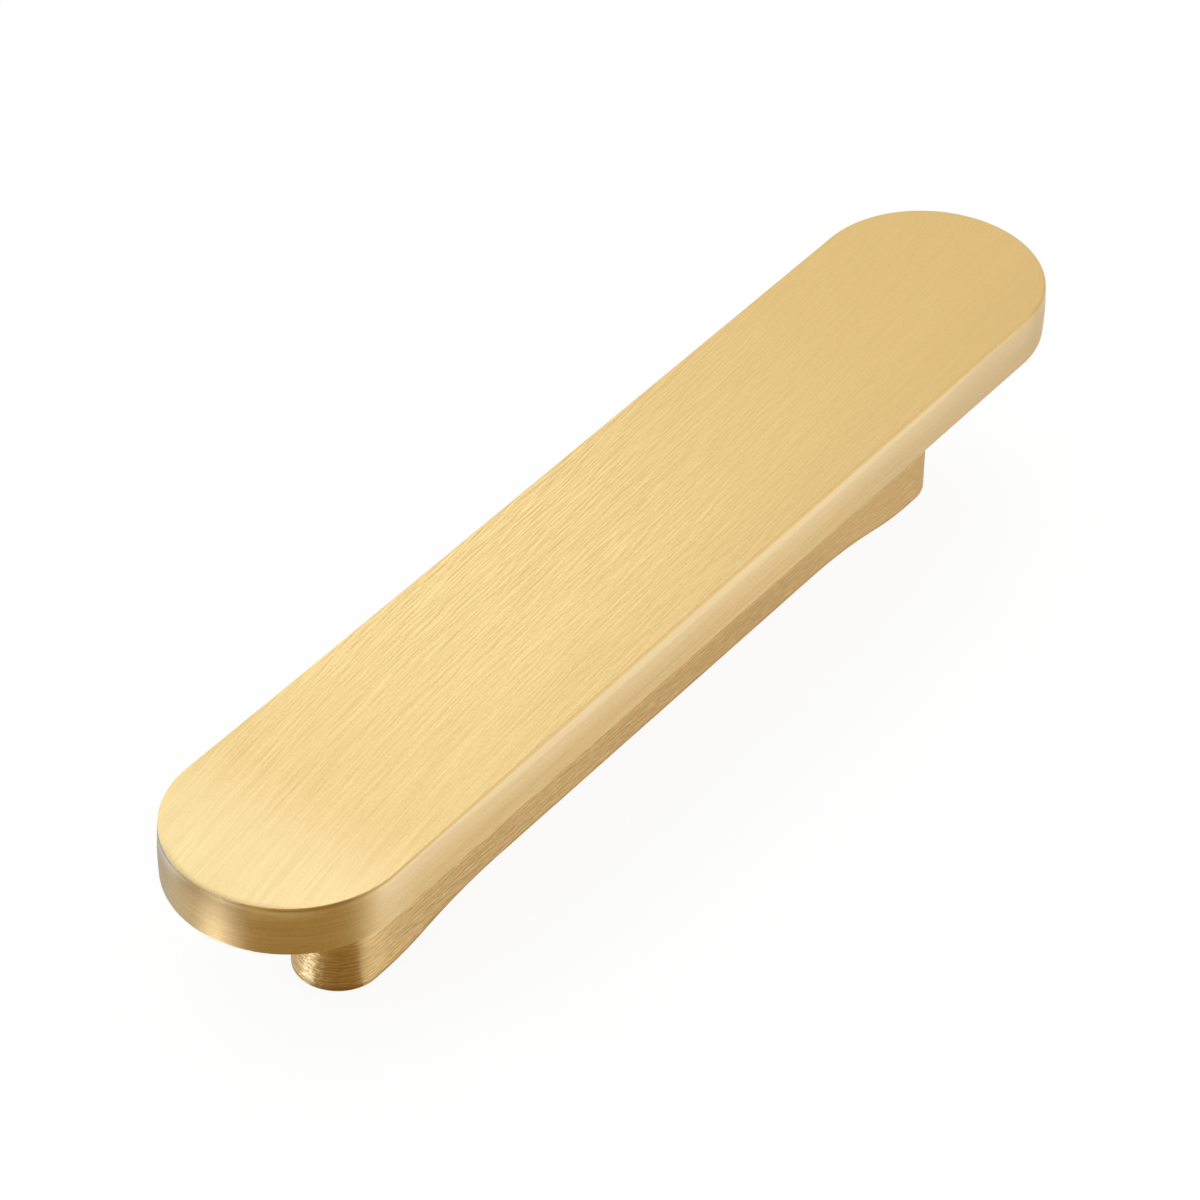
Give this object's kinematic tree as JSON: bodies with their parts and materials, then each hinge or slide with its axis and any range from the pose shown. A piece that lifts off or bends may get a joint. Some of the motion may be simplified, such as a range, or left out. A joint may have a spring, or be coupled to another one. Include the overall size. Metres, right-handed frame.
{
  "type": "tab pull",
  "caption": "Slim cabinet pull: a flat round-ended face plate on a narrower web, relieved along its base between a foot at each end.",
  "frame": {"origin": "middle of the plane that the feet rest on, halfway between the screw holes", "axes": "+X along the pull, +Z from the feet towards the face plate, out of the cabinet front"},
  "size_m": [0.136, 0.0254, 0.0235],
  "materials": {
    "brushed_brass": "brushed satin"
  },
  "bodies": {
    "root": {"pull_body": "brushed_brass"}
  },
  "joints": []
}
